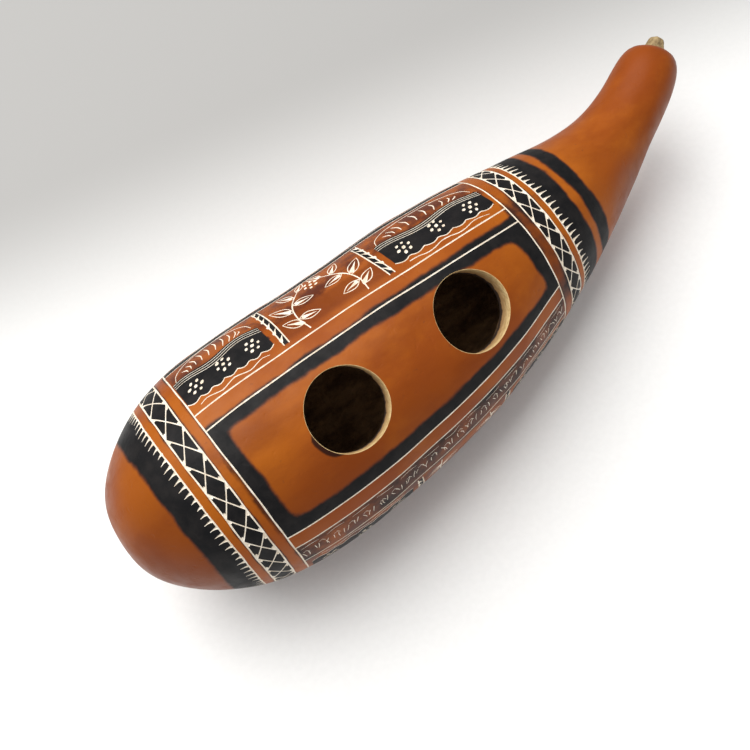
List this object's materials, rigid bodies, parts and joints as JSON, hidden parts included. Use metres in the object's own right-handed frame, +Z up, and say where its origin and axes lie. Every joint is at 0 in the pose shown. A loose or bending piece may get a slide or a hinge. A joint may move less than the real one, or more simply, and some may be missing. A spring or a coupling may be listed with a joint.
{
  "type": "gourd guiro",
  "caption": "Dried bottle-gourd scraper: hollow body, bent neck with a stalk, two finger holes on top, a filed rasp opposite, carved and scorched bands",
  "frame": {"origin": "centre of the bottom of the bounding box, on the surface that the ground spot rests on", "axes": "+X from the fat end to the neck, along the longest extent; +Z up with the finger holes on top; the neck bends towards +Y"},
  "size_m": [0.2968, 0.1032, 0.0951],
  "materials": {
    "skin": "satin orange-brown gourd skin, scorched black and carved with cream lines, cream where it is cut",
    "pulp": "matte, dark brown dried pulp, mottled and fibrous",
    "stalk": "matte, dry tan stalk, ridged lengthwise"
  },
  "bodies": {
    "root": {"gourd_shell": "skin", "pulp_lining": "pulp", "stem_stub": "stalk"}
  },
  "joints": []
}
